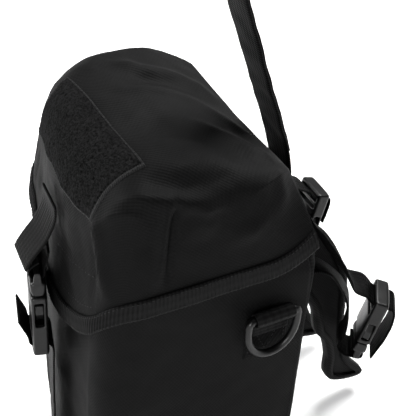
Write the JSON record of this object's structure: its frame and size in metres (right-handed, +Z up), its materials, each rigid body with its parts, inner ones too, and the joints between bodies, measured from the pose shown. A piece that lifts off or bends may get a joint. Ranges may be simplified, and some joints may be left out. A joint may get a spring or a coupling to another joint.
{
  "type": "flap-lid clip bag",
  "caption": "Soft nylon bag with a domed flap lid, loop panel, clip closure, end D-rings, padded back, side straps and a strap rising behind the lid.",
  "frame": {"origin": "on the flat base, midway between the two ends and 5 mm behind the middle of the base from front to back", "axes": "+Z up, +Y to the padded back (the wearer's side), -Y to the closing clip, +X to the end that the picture shows nearest"},
  "size_m": [0.1552, 0.245, 0.3305],
  "materials": {
    "nylon": "matt black woven nylon with a fine diagonal weave",
    "webbing": "ribbed black webbing and edge tape",
    "loop_pile": "fuzzy black loop pile",
    "plastic": "moulded black plastic with a slight sheen"
  },
  "bodies": {
    "bag": {"body_shell": "nylon", "base_board": "plastic", "back_panel": "nylon", "near_ring_loop": "webbing", "far_ring_loop": "webbing", "near_ring_patch": "nylon", "far_ring_patch": "nylon", "near_upper_strap": "webbing", "far_upper_strap": "webbing", "near_lower_strap": "webbing", "far_lower_strap": "webbing", "near_clip_male": "plastic", "near_clip_female": "plastic", "far_clip_male": "plastic", "far_clip_female": "plastic", "front_clip_female": "plastic", "front_strap": "webbing", "top_strap_base": "webbing"},
    "lid": {"lid_shell": "nylon", "lid_binding": "webbing", "loop_panel": "loop_pile", "lid_strap": "webbing", "clip_keeper_loop": "webbing", "front_clip_male": "plastic"},
    "top_strap": {"top_strap": "webbing"},
    "front_prong_a": {"front_clip_prong_a": "plastic"},
    "front_prong_b": {"front_clip_prong_b": "plastic"},
    "near_prong_a": {"near_clip_prong_a": "plastic"},
    "near_prong_b": {"near_clip_prong_b": "plastic"},
    "far_prong_a": {"far_clip_prong_a": "plastic"},
    "far_prong_b": {"far_clip_prong_b": "plastic"},
    "near_ring": {"near_d_ring": "plastic"},
    "far_ring": {"far_d_ring": "plastic"},
    "near_tail": {"near_strap_tail": "webbing"},
    "far_tail": {"far_strap_tail": "webbing"},
    "front_tail": {"front_strap_tail": "webbing"},
    "near_wing_pad": {"near_wing": "webbing"},
    "far_wing_pad": {"far_wing": "webbing"}
  },
  "joints": [
    {"name": "lid_hinge", "type": "hinge", "parent": "bag", "child": "lid", "pos_m": [0, 0.044, 0.233], "axis": [-1, 0, 0], "range_deg": [0, 120], "deforming": ["front_clip_prong_a", "front_clip_prong_b"]},
    {"name": "top_strap_swing", "type": "hinge", "parent": "bag", "child": "top_strap", "pos_m": [0.004, 0.0682, 0.17], "axis": [-1, 0, 0], "range_deg": [0, 72]},
    {"name": "front_prong_a_press", "type": "hinge", "parent": "lid", "child": "front_prong_a", "pos_m": [0.00923, -0.08205, 0.1582], "axis": [0.2756, 0.9613, 0], "range_deg": [0, 10], "stiffness_Nm_per_rad": 0.02},
    {"name": "front_prong_b_press", "type": "hinge", "parent": "lid", "child": "front_prong_b", "pos_m": [-0.00923, -0.07675, 0.1582], "axis": [-0.2756, -0.9613, 0], "range_deg": [0, 10], "stiffness_Nm_per_rad": 0.02},
    {"name": "near_prong_a_press", "type": "hinge", "parent": "bag", "child": "near_prong_a", "pos_m": [0.04031, 0.12831, 0.07941], "axis": [0.5749, 0.7913, -0.2079], "range_deg": [0, 10], "stiffness_Nm_per_rad": 0.02},
    {"name": "near_prong_b_press", "type": "hinge", "parent": "bag", "child": "near_prong_b", "pos_m": [0.05305, 0.11905, 0.07941], "axis": [-0.5749, -0.7913, 0.2079], "range_deg": [0, 10], "stiffness_Nm_per_rad": 0.02},
    {"name": "far_prong_a_press", "type": "hinge", "parent": "bag", "child": "far_prong_a", "pos_m": [-0.05604, 0.13594, 0.09441], "axis": [0.0853, 0.9744, -0.2079], "range_deg": [0, 10], "stiffness_Nm_per_rad": 0.02},
    {"name": "far_prong_b_press", "type": "hinge", "parent": "bag", "child": "far_prong_b", "pos_m": [-0.04035, 0.13457, 0.09441], "axis": [-0.0853, -0.9744, 0.2079], "range_deg": [0, 10], "stiffness_Nm_per_rad": 0.02},
    {"name": "near_ring_swing", "type": "hinge", "parent": "bag", "child": "near_ring", "pos_m": [0.0735, 0.031, 0.151], "axis": [0, -1, 0], "range_deg": [-3, 150]},
    {"name": "far_ring_swing", "type": "hinge", "parent": "bag", "child": "far_ring", "pos_m": [-0.0735, 0.031, 0.151], "axis": [0, 1, 0], "range_deg": [-3, 150]},
    {"name": "near_tail_swing", "type": "hinge", "parent": "bag", "child": "near_tail", "pos_m": [0.05311, 0.13253, 0.10877], "axis": [0.809, -0.5878, 0], "range_deg": [0, 60]},
    {"name": "far_tail_swing", "type": "hinge", "parent": "bag", "child": "far_tail", "pos_m": [-0.04724, 0.14616, 0.12377], "axis": [0.9962, -0.0872, 0], "range_deg": [0, 60]},
    {"name": "front_tail_bend", "type": "hinge", "parent": "bag", "child": "front_tail", "pos_m": [-0.00176, -0.08555, 0.1263], "axis": [0.9613, -0.2756, 0], "range_deg": [0, 90]},
    {"name": "near_wing_fold", "type": "hinge", "parent": "bag", "child": "near_wing_pad", "pos_m": [0.024, 0.065, 0.149], "axis": [0, 0, 1], "range_deg": [0, 14]},
    {"name": "far_wing_fold", "type": "hinge", "parent": "bag", "child": "far_wing_pad", "pos_m": [-0.024, 0.065, 0.149], "axis": [0, 0, -1], "range_deg": [0, 14]}
  ],
  "couplings": [
    {"joint": "top_strap_swing", "follows": "lid_hinge", "ratio": 0.6},
    {"joint": "front_prong_b_press", "follows": "front_prong_a_press", "ratio": 1},
    {"joint": "near_prong_b_press", "follows": "near_prong_a_press", "ratio": 1},
    {"joint": "far_prong_b_press", "follows": "far_prong_a_press", "ratio": 1}
  ]
}
